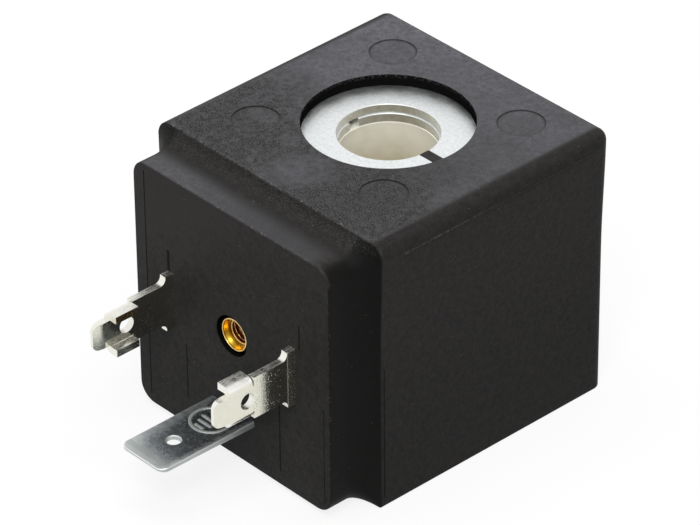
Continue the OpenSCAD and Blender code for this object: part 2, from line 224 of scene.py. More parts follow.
class Socket:
    """An output of a node. Operators add Math nodes, and node() adds any other node to the same tree."""

    def __init__(self, tree, out=None):
        self.tree = tree
        self.out = out

    def node(self, kind, settings=None, sockets=None, out=0):
        """Adds a node, sets its settings, then its sockets' values or links, and returns one output."""
        new = self.tree.nodes.new(kind)
        for key, value in (settings or {}).items():
            setattr(new, key, value)
        for key, value in (sockets or {}).items():
            if isinstance(value, Socket):
                self.tree.links.new(value.out, new.inputs[key])
            else:
                new.inputs[key].default_value = value
        return Socket(self.tree, new.outputs[out] if new.outputs else None)

    def math(self, operation, *values, clamp=False):
        """A Math node on values or links."""
        settings = {"operation": operation, "use_clamp": clamp}
        return self.node("ShaderNodeMath", settings, dict(enumerate(values)))

    def __add__(self, other):
        return self.math("ADD", self, other)

    def __sub__(self, other):
        return self.math("SUBTRACT", self, other)

    def __rsub__(self, other):
        return self.math("SUBTRACT", other, self)

    def __mul__(self, other):
        return self.math("MULTIPLY", self, other)

    def __lt__(self, other):
        return self.math("LESS_THAN", self, other)

    def __gt__(self, other):
        return self.math("GREATER_THAN", self, other)

    def __abs__(self):
        return self.math("ABSOLUTE", self)

    __radd__ = __add__
    __rmul__ = __mul__

    def clamped(self):
        """Held between 0 and 1."""
        return self.math("ADD", self, 0.0, clamp=True)

    def most(self, other):
        """The larger of two values."""
        return self.math("MAXIMUM", self, other)

    def ramp(self, low, high):
        """0 below low, 1 above high, smooth between."""
        sockets = {"Value": self, "From Min": low, "From Max": high}
        return self.node("ShaderNodeMapRange", {"interpolation_type": "SMOOTHSTEP"}, sockets)


def linear(*srgb):
    """A screen colour from 0 to 255 as linear values, by the sRGB curve."""
    parts = [value / 255 for value in srgb]
    return tuple(p / 12.92 if p <= 0.04045 else ((p + 0.055) / 1.055) ** 2.4 for p in parts)


def coords(tree):
    """Object coordinates in millimetres: the vector, and its three parts."""
    start = Socket(tree)
    at = start.node("ShaderNodeTexCoord", out="Object")
    at_mm = start.node("ShaderNodeVectorMath", {"operation": "SCALE"}, {0: at, "Scale": 1 / MM})
    parts = [start.node("ShaderNodeSeparateXYZ", sockets={0: at_mm}, out=axis) for axis in "XYZ"]
    return at_mm, parts


def stretched(at, factors):
    """Coordinates multiplied along each axis."""
    return at.node("ShaderNodeVectorMath", {"operation": "MULTIPLY"}, {0: at, 1: factors})


def noise(at, per_mm, detail=3.0, rough=0.55):
    """Fractal noise from 0 to 1 with about per_mm lumps to the millimetre."""
    sockets = {"Vector": at, "Scale": per_mm, "Detail": detail, "Roughness": rough}
    return at.node("ShaderNodeTexNoise", sockets=sockets, out="Fac")


def cells(at, per_mm):
    """Distance to the middle of the nearest of random cells, about per_mm to the millimetre."""
    return at.node("ShaderNodeTexVoronoi", sockets={"Vector": at, "Scale": per_mm}, out="Distance")


def off_sheet(at):
    """How far a face of sheet metal turns away from the sheet's own faces, from 0 to 1."""
    return at.node("ShaderNodeAttribute", {"attribute_name": "off_sheet"}, out="Fac")


def mixed(factor, first, second):
    """A colour between two colours by a factor."""
    factor_in, first_in, second_in, colour_out = 0, 6, 7, 2
    sockets = {factor_in: factor, first_in: colour4(first), second_in: colour4(second)}
    return factor.node("ShaderNodeMix", {"data_type": "RGBA"}, sockets, colour_out)


def colour4(colour):
    """A colour as a link, or as its three parts with full alpha."""
    return colour if isinstance(colour, Socket) else (*colour, 1.0)


def bumped(height, depth_mm):
    """A normal from a height that runs from 0 to 1 over depth_mm."""
    return height.node("ShaderNodeBump", sockets={"Distance": depth_mm * MM, "Height": height})


def finish(name, recipe, **fixed):
    """A material: recipe gets the coordinates and gives the sockets that vary, fixed gives the others."""
    material = bpy.data.materials.new(name)
    material.use_nodes = True
    tree = material.node_tree
    tree.nodes.clear()
    at, parts = coords(tree)
    sockets = {key.replace("_", " "): value for key, value in fixed.items()}
    sockets.update(recipe(at, *parts))
    shader = at.node("ShaderNodeBsdfPrincipled", sockets=sockets, out="BSDF")
    at.node("ShaderNodeOutputMaterial", sockets={"Surface": shader})
    return material


# Finishes

def oval_spot(x, y, centre, squash, core, edge):
    """1 in the core of an oval spot on the top and 0 past its edge, by squared distance with X squashed."""
    off_x, off_y = x - centre[0], y - centre[1]
    return 1 - (off_x * off_x * squash + off_y * off_y).ramp(core, edge)


def spark_grain(at, x, y, coarse):
    """How much spark grain the top has: in patches towards the front, least on one spot, most on another."""
    patch = noise(at, 0.17, 4.0, 0.6).ramp(0.34, 0.56)
    forward = 1 - y.ramp(-13.0, 5.0)
    polished = oval_spot(x, y, (1.5, -12.0), 0.6, 1.0, 14.0)
    roughest = oval_spot(x, y, (8.0, -15.0), 0.4, 1.0, 20.0)
    spark = (forward * (0.5 + 0.6 * patch) - 0.75 * polished + 0.15 * patch + roughest).clamped()
    return spark * (0.65 + 0.6 * coarse.ramp(0.35, 0.65))


def flank_painted_sheen(x, y, z):
    """Painted sheen on the upright faces: paler towards the contact face's upper left, the others upwards.
    """
    contact = y < face_y + 0.5
    painted_sheen = 0.85 * z.ramp(13.0, 28.0) * (1 - 0.8 * x.ramp(-14.0, 8.0)) + 0.22 * z.ramp(25.0, 29.0)
    painted_sheen = contact * (painted_sheen + 0.25 * (x < strip_x))
    return painted_sheen + (1 - contact) * (0.35 * z.ramp(4.0, 26.0) - 0.12)


def painted_shade_places(x, y, z, past_top):
    """Painted shade: how dark the boss's sides and corners, the cove and the long roundings are painted."""
    across = abs(x)
    side = across.ramp(boss_half_w - 0.1, boss_half_w) * (y < shoulder_y + 0.05)
    corner = across.ramp(boss_half_w - 1.9, boss_half_w - 0.6) * y.ramp(face_y + 0.1, face_y + 0.5)
    cove = y.ramp(face_y + 1.5, face_y + 3.5) * (y < shoulder_y)
    cove = cove * (0.6 - 0.25 * z.ramp(boss_high - 0.3, boss_high + 0.3))
    long_round = past_top * z.ramp(body_h - 2.2, body_h - 0.9) * 0.3
    return side.most(corner * (y < shoulder_y)).most(cove).most(long_round)


def chipped_rims(at, x, y, z):
    """Chips along the boss's front edge and the body's front top edge."""
    boss_top = z.ramp(boss_high - 0.2, boss_high - 0.05)
    boss_sides = abs(x).ramp(boss_half_w - 0.2, boss_half_w - 0.05)
    front_rim = (1 - y.ramp(face_y + 0.08, face_y + 0.25)) * boss_top.most(boss_sides)
    top_rim = (1 - y.ramp(shoulder_y + 0.05, shoulder_y + 0.3)) * z.ramp(body_h - 0.2, body_h - 0.05)
    return noise(at, 2.6, 3.0, 0.7).ramp(0.56, 0.7) * front_rim.most(top_rim)


def moulded_black(at, x, y, z):
    """Black moulding: frosted grey top, blacker flanks, spark grain towards the front, chips and dust.

    Painted sheen makes the top paler towards the back and left and the flanks paler upwards; painted shade
    darkens the boss's sides, the cove and the long roundings; pale specks are painted glints as well as dust
    and chips.
    """
    grain = noise(at, 6.5, 2.0, 0.8)
    fine = noise(at, 10.0, 2.0, 0.7)
    medium = noise(at, 2.8, 3.0, 0.7)
    coarse = noise(at, 1.3, 4.0, 0.65)
    cloud = noise(at, 0.3, 3.0, 0.6)

    past_top = abs(x).ramp(*top_fade)
    top = z.ramp(body_h - 0.18, body_h - 0.03) * (1 - past_top)
    # The boss's ledge takes the top's tone, less of it towards the right: painted sheen.
    ledge = z.ramp(boss_high - 0.25, boss_high + 0.05) * (1 - y.ramp(face_y + 1.2, face_y + 3.6))
    ledge = ledge * (0.84 - 0.34 * x.ramp(-14.0, 12.0)) * (1 - x.ramp(11.0, 12.6))
    cove_top = z.ramp(boss_high, boss_high + 0.6) * y.ramp(face_y + 2.2, face_y + 3.2)
    cove_top = cove_top * (y < shoulder_y + 0.5)
    spark = spark_grain(at, x, y, coarse) * top + 0.8 * cove_top * (1 - top)

    mottle = coarse.ramp(0.3, 0.7) * 0.45 + medium.ramp(0.35, 0.65) * 0.35 + grain * 0.2
    # Flank tone: random mottle plus painted sheen.
    flank = mixed(mottle * 0.85 + flank_painted_sheen(x, y, z), linear(24, 23, 22), linear(57, 55, 54))
    # Tone of the painted shade at the boss's sides, the cove and the long roundings.
    deep_shade = mixed(coarse, linear(8, 8, 8), linear(20, 20, 19))
    skin = mixed(painted_shade_places(x, y, z, past_top), flank, deep_shade)

    # The top's tone: frosted grey, paler towards the back and left and at its right front as painted sheen,
    # mottled by cloud.
    pale = 0.25 * y.ramp(-4.0, 13.0) + 0.35 * (1 - x.ramp(-14.0, 14.0)) + 0.5 * cloud
    pale = pale + 0.18 * x.ramp(10.5, 13.5) * (1 - y.ramp(-6.0, 8.0))
    smooth = mixed(pale.clamped(), linear(64, 64, 67), linear(116, 115, 121))
    sparks = grain.ramp(0.42, 0.62)
    scuff = coarse.ramp(0.35, 0.65) * 0.35 + medium.ramp(0.38, 0.64) * 0.4 + sparks * 0.25
    smooth = mixed(scuff * 0.75, smooth, linear(58, 57, 58))
    sparked = mixed(sparks, linear(18, 17, 16), linear(77, 76, 76))
    skin = mixed(top.most(ledge), skin, mixed(spark * 0.95, smooth, sparked))

    # Pale specks: painted glints in the spark grain, with dust and chips.
    painted_glint = fine.ramp(0.56, 0.7) * (0.05 + 0.55 * spark)
    dust = (1 - cells(at, 1.1).ramp(0.03, 0.075)) * noise(at, 0.45, 2.0).ramp(0.45, 0.62)
    glints_dust_and_chips = (painted_glint * 0.6 + dust * 0.5 + chipped_rims(at, x, y, z) * 0.4).clamped()
    relief = 0.4 + 0.6 * spark
    return {
        "Base Color": mixed(glints_dust_and_chips, skin, linear(158, 156, 149)),
        "Roughness": (0.48 + 0.2 * fine).clamped(),
        "Normal": bumped(grain * relief + coarse * relief + medium * 0.3, 0.09),
    }


def hollow_painted_shade(at, x, y, z):
    """The moulding inside its hollows as painted shade: dead black, with turning lines and a lip that is
    rubbed in specks.
    """
    grain = noise(at, 5.0, 3.0, 0.7)
    lines = noise(stretched(at, (0.3, 0.3, 5.0)), 1.0, 2.0)
    rubbed = grain.ramp(0.5, 0.64) * z.ramp(body_h - 0.55, body_h)
    tone = mixed(grain * 0.6 + lines * 0.4, linear(8, 8, 8), linear(22, 22, 21))
    tone = mixed(rubbed * 0.7, tone, linear(96, 95, 94))
    return {"Base Color": tone, "Roughness": 0.7 + 0.2 * grain, "Normal": bumped(grain + lines, 0.02)}


def galvanised_steel(at, x, y, z):
    """Zinc-coated sheet: fine frosted grain that scatters its gloss, with brighter and duller clouds."""
    frost = noise(at, 2.4, 4.0, 0.75)
    fleck = noise(at, 6.0, 3.0, 0.7)
    cloud = noise(at, 0.55, 3.0).ramp(0.35, 0.7)
    tone = mixed((frost * 0.6 + fleck * 0.4).ramp(0.25, 0.75), linear(216, 221, 223), linear(252, 253, 252))
    return {
        "Base Color": tone,
        "Roughness": (0.25 + 0.2 * frost + 0.08 * cloud).clamped(),
        "Normal": bumped(frost * 0.7 + fleck * 0.3, 0.03),
    }


def tab_steel(at, x, y, z):
    """The earth tab's sheet: greyer than the yoke, frosted in flecks, pale and dull at its tip and sides."""
    frost = noise(at, 1.6, 5.0, 0.7)
    fleck = noise(at, 8.0, 3.0, 0.75)
    tip = 1 - y.ramp(tab_low[1] + 1.0, tab_low[1] + 1.2)
    cut = off_sheet(at)
    edges = 1 - x.ramp(tab_low[0], tab_low[0] + 2.2) * (1 - x.ramp(tab_high[0] - 0.9, tab_high[0]))
    near_tip = 1 - y.ramp(tab_low[1] + 1.0, tab_low[1] + 3.0)
    worn = (0.65 * edges + 0.45 * near_tip + 2.4 * (frost * 0.5 + fleck * 0.5) - 1.1).clamped()
    tone = mixed(worn, linear(144, 152, 160), linear(222, 227, 229))
    return {
        "Base Color": mixed(cut, mixed(tip * 0.75, tone, linear(194, 199, 197)), linear(184, 188, 186)),
        "Roughness": (0.15 + 0.27 * worn + 0.08 * fleck + 0.1 * tip + 0.06 * cut).clamped(),
        "Normal": bumped(frost * 0.35 + fleck * 0.65, 0.06),
    }


def rubbed_zinc(at, x, y, z):
    """Edges of the zinc-coated sheet: rubbed bright and dull, with nicks."""
    nick = noise(at, 3.5, 3.0, 0.7)
    tone = mixed(nick, linear(206, 209, 208), linear(248, 249, 248))
    return {"Base Color": tone, "Roughness": 0.42 + 0.2 * nick, "Normal": bumped(nick, 0.02)}


def tinned_brass(at, x, y, z):
    """Bright tin plate: creamy, with dots of wear, painted highlights on bends, streaked cuts and brushed
    collars.

    The upper ears' ends, where the sheet was cut last, show the bare brass.
    """
    pebble = noise(at, 6.0, 3.0, 0.65)
    cloud = noise(at, 0.8, 4.0, 0.6)
    dot = (1 - cells(at, 3.6).ramp(0.12, 0.28)) * noise(at, 0.9, 2.0).ramp(0.36, 0.58)
    brush = noise(stretched(at, (6.0, 6.0, 0.3)), 1.2, 3.0, 0.7)
    streak = noise(stretched(at, (7.0, 1.4, 7.0)), 1.0, 3.0, 0.75)
    cut = off_sheet(at)
    collar = y.ramp(face_y - blade_base - 0.01, face_y - blade_base + 0.05) * (abs(x) > blade_out - 0.1)
    tone = mixed(cloud, linear(213, 212, 197), linear(232, 231, 217))
    # Faces turned off the blade's sheet are paler.
    tone = mixed(cut.ramp(0.3, 0.9), tone, linear(240, 239, 231))
    # Painted highlight: the bends paler still, near white.
    bend_highlight = cut.ramp(0.02, 0.2) * (1 - cut.ramp(0.55, 0.9))
    tone = mixed(bend_highlight, tone, linear(252, 251, 246))
    bare = (abs(abs(x) - ear_end) < 0.06) * (1 - cut) * (z > blade_z) * noise(at, 0.6, 2.0).ramp(0.2, 0.5)
    worn = cut.ramp(0.1, 0.9) * (0.12 + 0.28 * streak.ramp(0.34, 0.7))
    speckle = 0.04 * pebble + 0.16 * pebble.ramp(0.55, 0.7) + 0.2 * dot
    brushed = collar * (0.04 + 0.2 * brush)
    return {
        "Base Color": mixed(bare * 0.8, tone, linear(172, 130, 56)),
        "Roughness": (0.08 + speckle + 0.15 * bare + worn + 0.32 * bend_highlight + brushed).clamped(),
        "Normal": bumped(pebble * 0.5 + dot * 0.4 + collar * brush, 0.013),
    }


def rubbed_tin(at, x, y, z):
    """Edges of the tinned sheet: rubbed bright and dull, with nicks."""
    nick = noise(at, 4.0, 3.0, 0.7)
    tone = mixed(nick, linear(214, 213, 204), linear(250, 250, 246))
    return {"Base Color": tone, "Roughness": 0.5 + 0.2 * nick, "Normal": bumped(nick, 0.02)}


def insert_brass(at, x, y, z):
    """Turned brass: a gold countersink with lathe lines and tarnish, with painted highlights and painted
    shade.

    Pale rims, shelf and thread crests are painted highlights, the countersink is painted brighter below as a
    highlight, and painted shade darkens it under the rim and at its foot and turns the thread dark red.
    """
    tarnish = noise(at, 1.6, 4.0, 0.6)
    lathe = noise(stretched(at, (0.4, 9.0, 0.4)), 1.5, 3.0)
    depth = y - insert_y
    up = z - screw_z
    around = x * x + up * up
    deep_shade = depth.ramp(sink_depth, sink_depth + 0.12)
    shelf = (around < shelf_r ** 2) * (abs(depth - sink_depth + 0.02) < 0.03)
    crest = (around < crest_r ** 2) * (depth > sink_depth)
    # Pale rims, shelf and thread crests: painted highlights.
    rim = (1 - depth.ramp(0.02, 0.05)).most(shelf).most(crest * 0.8)
    # Brighter below as a painted highlight, mottled by tarnish.
    tarnish_and_highlight = (0.3 * tarnish + 0.9 * (1 - up.ramp(-1.6, -0.2))).clamped()
    gold = mixed(tarnish_and_highlight, linear(186, 132, 22), linear(252, 218, 84))
    # Painted shade under the rim and at the countersink's foot.
    under_rim_shade = depth.ramp(0.04, 0.07) * (1 - depth.ramp(0.12, 0.2))
    foot = depth.ramp(0.7, 0.78)
    gold = mixed(under_rim_shade.most(foot) * 0.75, gold, linear(84, 34, 8))
    # The thread painted dark red as shade deep in the bore.
    thread = mixed(deep_shade, gold, linear(74, 24, 6))
    return {
        "Base Color": mixed(rim, thread, linear(240, 214, 150)),
        "Roughness": (0.22 + 0.14 * lathe + 0.25 * rim).clamped(),
        "Normal": bumped(lathe, 0.004),
    }


def cream_plastic(at, x, y, z):
    """Unfilled cream moulding: soft mottle, draw lines along the bore, and painted shade towards its middle.
    """
    cloud = noise(at, 0.5, 4.0, 0.6).ramp(0.3, 0.7)
    # Painted shade: darker and yellower towards the bore's middle, away from both ends.
    near_end = abs(z - body_h / 2).ramp(5.8, 12.0)
    draw = noise(stretched(at, (3.0, 3.0, 0.15)), 1.6, 3.0)
    painted_depth_light = (near_end + 0.2 * cloud - 0.1).clamped()
    return {
        "Base Color": mixed(painted_depth_light, linear(204, 194, 166), linear(252, 249, 235)),
        "Roughness": (0.38 + 0.16 * draw).clamped(),
        "Normal": bumped(draw, 0.008),
    }


def copper_wire(at, x, y, z):
    """Enamelled copper: close turns along the bore, reddish brown."""
    turn_pitch = 0.25
    turns = z.math("SINE", z * (TAU / turn_pitch))
    tone = mixed(noise(at, 1.2), linear(150, 78, 42), linear(196, 112, 62))
    return {"Base Color": tone, "Roughness": 0.3 + 0.1 * noise(at, 3.0), "Normal": bumped(turns, 0.03)}


def wrap_tape(at, x, y, z):
    """Amber polyester tape with lapped edges and a slight crinkle."""
    laps_per_mm, plain_part = 0.17, 0.96
    lap = z.math("FRACT", z * laps_per_mm) > plain_part
    crinkle = noise(at, 0.8)
    tone = mixed(lap, linear(201, 140, 46), linear(158, 104, 30))
    return {"Base Color": tone, "Roughness": 0.3 + 0.15 * noise(at, 2.0), "Normal": bumped(crinkle, 0.03)}


def lead_sleeve(at, x, y, z):
    """Braided white sleeve: crossing threads along its length."""
    weave = cells(stretched(at, (6.0, 3.0, 6.0)), 1.0)
    tone = mixed(weave.clamped(), linear(232, 229, 220), linear(196, 192, 180))
    return {"Base Color": tone, "Roughness": 0.6 + 0.1 * noise(at, 4.0), "Normal": bumped(weave, 0.03)}


def solder(at, x, y, z):
    """Set solder: grey metal, brighter and duller in frosted patches."""
    frost = noise(at, 4.0, 4.0)
    tone = mixed(frost, linear(150, 152, 156), linear(206, 207, 208))
    return {"Base Color": tone, "Roughness": 0.2 + 0.25 * frost, "Normal": bumped(frost, 0.01)}


def stamped_zinc(at, x, y, z):
    """Raised lines on the earth tab: rubbed paler and duller than the sheet round them."""
    rub = noise(at, 3.0, 4.0, 0.6)
    tone = mixed(rub, linear(158, 162, 161), linear(214, 216, 213))
    return {"Base Color": tone, "Roughness": 0.42 + 0.2 * rub, "Normal": bumped(rub, 0.02)}


def rubbed_flash(at, x, y, z):
    """Flash on the flank: black like the skin, rubbed pale in places towards the front."""
    rub = noise(at, 2.4, 3.0, 0.7).ramp(0.38, 0.62)
    tone = mixed(rub * (1 - 0.75 * y.ramp(-7.0, 0.0)), linear(40, 39, 38), linear(80, 78, 75))
    return {"Base Color": tone, "Roughness": 0.5 + 0.2 * rub, "Normal": bumped(rub, 0.02)}


def parting_line(at, x, y, z):
    """Narrow lines left where the mould's inserts meet: darker than the skin and a little broken."""
    broken = noise(at, 2.2, 3.0)
    tone = mixed(broken, linear(4, 4, 4), linear(18, 17, 16))
    return {"Base Color": tone, "Roughness": 0.6 + 0.2 * broken, "Normal": bumped(broken, 0.01)}


black = finish("moulded_black", moulded_black, Specular_IOR_Level=0.1)
# Painted shade for the hollows: blacker than the moulding and without gloss.
hollow_shade = finish("hollow_painted_shade", hollow_painted_shade, Specular_IOR_Level=0.0)
zinc = finish("galvanised_steel", galvanised_steel, Metallic=1.0)
tab_zinc = finish("tab_steel", tab_steel, Metallic=1.0)
zinc_edge = finish("rubbed_zinc", rubbed_zinc, Metallic=1.0)
tin = finish("tinned_brass", tinned_brass, Metallic=1.0)
tin_edge = finish("rubbed_tin", rubbed_tin, Metallic=1.0)
brass = finish("insert_brass", insert_brass, Metallic=1.0)
cream = finish("cream_plastic", cream_plastic)
copper = finish("copper_wire", copper_wire, Metallic=1.0)
tape = finish("wrap_tape", wrap_tape)
sleeve = finish("lead_sleeve", lead_sleeve)
joint_metal = finish("solder", solder, Metallic=1.0)
struck = finish("stamped_zinc", stamped_zinc, Metallic=0.75)
flash = finish("rubbed_flash", rubbed_flash, Specular_IOR_Level=0.1)
seam = finish("parting_line", parting_line, Specular_IOR_Level=0.1)


# Moulded skin

def arc(steps, start=0.0, end=TAU / 4):
    """Angles in equal steps, over a quarter turn unless said otherwise."""
    return np.linspace(start, end, steps + 1)


def ring(steps):
    """Angles of a full turn in equal steps, without its end."""
    return arc(steps, 0, TAU)[:-1]


def squared_ring(steps, push):
    """Circle of points pushed outwards and held inside the unit square, which flattens its four sides."""
    turn = ring(steps)
    return np.clip(push * np.stack([np.cos(turn), np.sin(turn)]), -1, 1)


def outline_frame():
    """Rounded rectangle's outline without its sizes, clockwise from the top's left end.

    Each point has a place on the inner rectangle, from -1 to 1 both ways, the unit direction in which
    the corner radius carries it outwards, and where that ends if the top corners are cut straight.
    """
    run = np.linspace(-1, 1, across_n + 1)[:-1]
    fall = np.linspace(1, -1, upright_n + 1)[:-1]
    turn = arc(corner_n)[:-1]
    level, upright, corner = np.ones(across_n), np.ones(upright_n), np.ones(corner_n)
    x = np.concatenate([run, corner, upright, corner, -run, -corner, -upright, -corner])
    z = np.concatenate([level, corner, fall, -corner, -level, -corner, -fall, corner])
    angle = np.concatenate([
        0 * level, turn, upright * TAU / 4, turn + TAU / 4,
        level * TAU / 2, turn + TAU / 2, upright * 0.75 * TAU, turn + 0.75 * TAU,
    ])
    round_x, round_z = np.sin(angle), np.cos(angle)
    straight = 1 / np.maximum(abs(round_x) + abs(round_z), 1)
    cut = np.where(round_z > 0, straight, 1)
    return x, z, (round_x, round_z), (round_x * cut, round_z * cut)


def skin_rows():
    """Stations from the contact face to the back: depth, growth from boss to body, and three insets.

    The insets are those of the sides, the top and the base. The boss's front edge is a small quarter round.
    At its foot a cove rises to a crisp shoulder, which turns the other way by the same angle, where both
    together make the side step.
    """
    edge_n, band_n, cove_n, shoulder_n, back_n = 6, 4, 10, 8, 8
    edge = arc(edge_n)
    cove = arc(cove_n, 0, cove_sway)
    shoulder = arc(shoulder_n, cove_sway, 0)[1:]
    along, out = math.sin(cove_sway), math.cos(cove_sway)
    s_depth = np.concatenate([
        cove_r * np.sin(cove), cove_r * along + shoulder_r * (along - np.sin(shoulder)),
    ])
    s_out = np.concatenate([
        cove_r * (1 - np.cos(cove)), cove_r * (1 - out) + shoulder_r * (np.cos(shoulder) - out),
    ])
    cove_y = face_y + cove_from_face + s_depth
    flat_front, flat_back = cove_y[-1], back_y - upright_edge
    flat = np.linspace(flat_front, flat_back, across_n + 1)[1:]
    turn = flat_back + upright_edge * np.sin(arc(back_n))[1:]
    band = np.linspace(face_y + boss_edge, face_y + cove_from_face, band_n + 1)[1:-1]
    y = np.concatenate([face_y + boss_edge * (1 - np.cos(edge)), band, cove_y, flat, turn])
    grown = np.interp(y, cove_y, s_out / side_step)
    front = boss_edge - np.sqrt(boss_edge ** 2 - np.clip(face_y + boss_edge - y, 0, boss_edge) ** 2)
    side, top, base = (
        front + r - np.sqrt(r ** 2 - np.clip(y - back_y + r, 0, r) ** 2)
        for r in (upright_edge, back_edge, base_edge)
    )
    return y, grown, (side, top, base), flat_front, flat_back


def skin_sections(y, grown, insets):
    """Points of every station's rounded rectangle, as rows of the loft.

    The top corners of the body are rounds drawn part of the way to a straight cut, wider at the front than
    at the back. Towards the top the body spreads a little, to both sides and half as much to the back, by a
    smooth step in height.
    """
    least_top, least_base, back_share = 0.08, 0.04, 0.5
    ex, ez, rounded, cut = outline_frame()
    grown = grown[:, None]
    side, top, base = (inset[:, None] for inset in insets)
    half_w = body_half_w - side_step * (1 - grown) - side
    high = body_h - top_step * (1 - grown) - top
    low = bottom_step * (1 - grown) + base
    r_long = np.interp(y, [shoulder_y, back_y], [long_edge, back_edge])[:, None]
    r_top = np.maximum(boss_corner + grown * (r_long - boss_corner) - np.minimum(side, top), least_top)
    r_base = np.maximum(boss_corner + grown * (base_edge - boss_corner) - np.minimum(side, base), least_base)
    radius = np.where(ez > 0, r_top, r_base)
    nx, nz = ((1 - edge_flatness * grown) * a + edge_flatness * grown * b for a, b in zip(rounded, cut))
    x = (half_w - radius) * ex + radius * nx
    inner_top, inner_base = high - r_top, low + r_base
    z = (inner_top + inner_base) / 2 + (inner_top - inner_base) / 2 * ez + radius * nz
    lift = np.clip((z - flare_from) / (body_h - flare_from), 0, 1)
    spread = flare * grown * lift ** 2 * (3 - 2 * lift)
    y = y[:, None] + back_share * spread * np.clip(y[:, None] / back_y, 0, 1)
    return np.stack([x + spread * ex, y, z], -1)


def window_edge(first, last, cols):
    """Indices of the points round a window of the grid, from row first to last along the given columns."""
    rows = last - first
    row = np.concatenate([
        np.full(len(cols), first), np.arange(first + 1, last + 1),
        np.full(len(cols) - 1, last), np.arange(last - 1, first, -1),
    ])
    col = np.concatenate([cols, np.full(rows, cols[-1]), cols[-2::-1], np.full(rows - 1, cols[0])])
    return row, col


def drawn_in(loop, centre, radius, steps):
    """Rows from a closed loop to a circle in its plane: each point moves straight to its own bearing."""
    away = loop - centre
    circle = centre + radius * away / np.linalg.norm(away, axis=-1, keepdims=True)
    part = np.asarray(steps)[:, None, None]
    return loop + part * (circle - loop)


def sunk_rows(loop, centre, normal, rim, lip, profile):
    """Rows that carry a circle down a round hole: a quarter-round lip, then (radius, depth) pairs."""
    lip_n = 6
    away = loop - centre
    out = away / np.linalg.norm(away, axis=-1, keepdims=True)
    turn = arc(lip_n)[1:]
    radii = np.concatenate([rim + lip * (1 - np.sin(turn)), [r for r, _ in profile]])
    depths = np.concatenate([lip * (1 - np.cos(turn)), [d for _, d in profile]])
    return centre + radii[:, None, None] * out - depths[:, None, None] * np.asarray(normal)


def ejector_dish(field, centre):
    """Window of the top's grid round an ejector mark, and the rows of its dish with a groove at the foot."""
    margin, groove_w, slope_w = 0.35, 0.08, 0.2
    near = np.linalg.norm(field[..., :2] - centre[:2], axis=-1) < ejector_r + margin
    rows = np.flatnonzero(near.any(1))
    cols = np.flatnonzero(near.any(0))
    first, last = rows[0] - 1, rows[-1] + 1
    span = np.arange(cols[0] - 1, cols[-1] + 2)
    loop = field[window_edge(first, last, span)]
    flat = drawn_in(loop, centre, ejector_r, [0, 0.4, 0.75, 1])
    wall_r = ejector_r - ejector_lip
    foot = ejector_depth + ejector_groove
    dish = sunk_rows(loop, centre, (0, 0, 1), wall_r, ejector_lip, [
        (wall_r, foot), (wall_r - groove_w, foot), (wall_r - groove_w - slope_w, ejector_depth),
        (ejector_r * 0.6, ejector_depth), (0.0, ejector_depth),
    ])
    block = np.concatenate([flat, dish])
    cell = (slice(first, last), slice(span[0], span[-1]))
    return cell, (block, grid_faces(*block.shape[:2], wrap=True))


def end_face(skin, first, last, cols, z, up, marked):
    """Flat end of the body from its four edges to the recess, with the recess wall down to mid-height."""
    below_lip = 0.7
    loop = np.roll(skin[window_edge(first, last, cols)], -(across_n // 2), axis=0)
    centre = np.array([0, 0, z])
    steps = np.concatenate([np.linspace(0, 0.9, 15), [0.95, 1]])
    field = drawn_in(loop, centre, recess_r + recess_lip, steps)
    keep = np.ones((field.shape[0] - 1, field.shape[1]), bool)
    blocks = []
    if marked:
        for sx, sy in ((-1, -1), (-1, 1), (1, -1), (1, 1)):
            mark = np.array([sx * ejector_offset, sy * ejector_offset, z])
            cell, dish = ejector_dish(field, mark)
            keep[cell] = False
            blocks.append(dish)
    wall = sunk_rows(loop, centre, (0, 0, up), recess_r, recess_lip, [
        (recess_r, below_lip), (recess_r, body_h / 2),
    ])
    blocks.append((field, grid_faces(*field.shape[:2], wrap=True)[keep.ravel()]))
    sides = np.concatenate([field[-1:], wall])
    blocks.append((sides, grid_faces(*sides.shape[:2], wrap=True)))
    return blocks


def slit_fill():
    """Moulding that fills the outer plate's slit: a flat-sided bar along X, just below the plate's top."""
    far, below = recess_r + 1 - plate_hole_r, 0.01
    x = plate_hole_r + np.array([-0.15, -0.15, -0.05, 0, far, far])
    size = np.array([0, 0.8, 0.95, 1, 1, 0])
    flat = squared_ring(32, 1.35)
    half_y, half_z = slit_w / 2, plate_t / 2 - below
    y = size[:, None] * half_y * flat[0]
    z = plate_high[2] - plate_t / 2 + size[:, None] * half_z * flat[1]
    rows = np.stack([np.broadcast_to(x[:, None], y.shape), y, z], -1)
    return rows, grid_faces(*rows.shape[:2], wrap=True)


